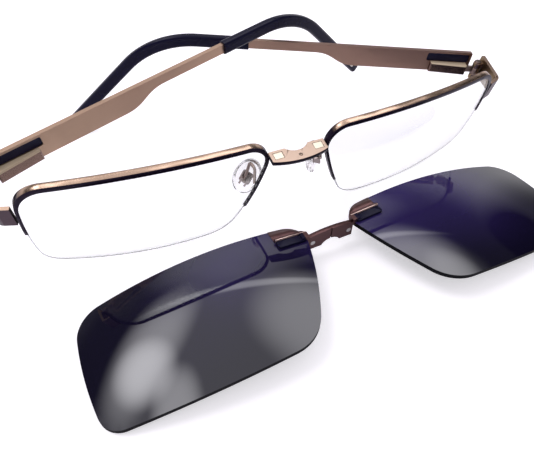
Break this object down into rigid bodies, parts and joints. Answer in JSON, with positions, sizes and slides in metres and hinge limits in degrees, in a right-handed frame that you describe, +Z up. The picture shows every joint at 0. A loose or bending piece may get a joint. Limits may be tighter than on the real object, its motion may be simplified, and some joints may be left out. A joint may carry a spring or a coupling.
{
  "type": "spectacle frame with magnetic clip-on",
  "caption": "Semi-rimless spectacle frame with spring-hinged folding temples, and a magnetic clip-on pair of sun lenses lying in front of it.",
  "frame": {"origin": "centre of the base of the whole object's box, on the table that it stands on", "axes": "+X to the viewer's right along the front, +Y from the front back along the temples, +Z up"},
  "size_m": [0.1398, 0.1112, 0.0367],
  "materials": {
    "bronze_metal": "satin bronze plating over stainless steel",
    "dark_metal": "glossy dark brown lacquer on the front faces, bronze on top",
    "steel_screw": "satin",
    "clear_lens": "clear, hard coated",
    "nylon_cord": "clear nylon",
    "pad_silicone": "clear soft silicone",
    "pad_metal": "satin",
    "tip_plastic": "glossy blue-black",
    "magnet_nickel": "bright nickel plating",
    "sun_lens": "glossy grey polarized",
    "clip_metal": "satin reddish bronze, black on the face of the brackets"
  },
  "bodies": {
    "front": {"frame_bridge": "bronze_metal", "left_rim": "dark_metal", "left_lens": "clear_lens", "left_lens_cord": "nylon_cord", "left_pad_arm": "dark_metal", "left_endpiece": "dark_metal", "left_hinge_screw": "steel_screw", "left_frame_magnet": "magnet_nickel", "right_rim": "dark_metal", "right_lens": "clear_lens", "right_lens_cord": "nylon_cord", "right_pad_arm": "dark_metal", "right_endpiece": "dark_metal", "right_hinge_screw": "steel_screw", "right_frame_magnet": "magnet_nickel"},
    "left_slider": {"left_hinge_slider": "bronze_metal"},
    "left_temple": {"left_spring_box": "bronze_metal", "left_temple_blade": "bronze_metal", "left_tip_sleeve": "tip_plastic", "left_tip_inlay": "magnet_nickel"},
    "left_pad": {"left_nose_pad": "pad_silicone", "left_pad_fixing": "pad_metal"},
    "right_slider": {"right_hinge_slider": "bronze_metal"},
    "right_temple": {"right_spring_box": "bronze_metal", "right_temple_blade": "bronze_metal", "right_tip_sleeve": "tip_plastic", "right_tip_inlay": "magnet_nickel"},
    "right_pad": {"right_nose_pad": "pad_silicone", "right_pad_fixing": "pad_metal"},
    "clip": {"clip_bridge": "clip_metal", "left_sun_lens": "sun_lens", "left_clip_bracket": "clip_metal", "left_clip_magnet": "magnet_nickel", "right_sun_lens": "sun_lens", "right_clip_bracket": "clip_metal", "right_clip_magnet": "magnet_nickel"}
  },
  "joints": [
    {"name": "left_temple_fold", "type": "hinge", "parent": "front", "child": "left_slider", "pos_m": [-0.06722, -0.00031, 0.02526], "axis": [-0.0422, -0.1218, 0.9917], "range_deg": [-9, 77]},
    {"name": "right_temple_fold", "type": "hinge", "parent": "front", "child": "right_slider", "pos_m": [0.06708, -0.00059, 0.02184], "axis": [-0.0454, 0.0784, -0.9959], "range_deg": [-7.4, 63.2]},
    {"name": "left_spring_travel", "type": "slide", "parent": "left_slider", "child": "left_temple", "axis": [0.9524, 0.295, 0.0767], "range_m": [0, 0.0012], "stiffness_N_per_m": 3000, "springref_m": -0.001},
    {"name": "right_spring_travel", "type": "slide", "parent": "right_slider", "child": "right_temple", "axis": [-0.913, 0.4013, 0.0732], "range_m": [0, 0.0012], "stiffness_N_per_m": 3000, "springref_m": -0.001},
    {"name": "left_pad_rock", "type": "hinge", "parent": "front", "child": "left_pad", "pos_m": [-0.01093, -0.00864, 0.01342], "axis": [-0.6373, 0.646, 0.4201], "range_deg": [-6, 6]},
    {"name": "right_pad_rock", "type": "hinge", "parent": "front", "child": "right_pad", "pos_m": [0.01063, -0.00864, 0.01311], "axis": [-0.6491, -0.646, -0.4017], "range_deg": [-6, 6]},
    {"name": "clip_raise", "type": "hinge", "parent": "front", "child": "clip", "pos_m": [0.00435, -0.05392, 0.00048], "axis": [0.9997, 0.0234, 0], "range_deg": [0, 101]}
  ],
  "couplings": [
    {"joint": "right_temple_fold", "follows": "left_temple_fold", "ratio": 0.82}
  ]
}
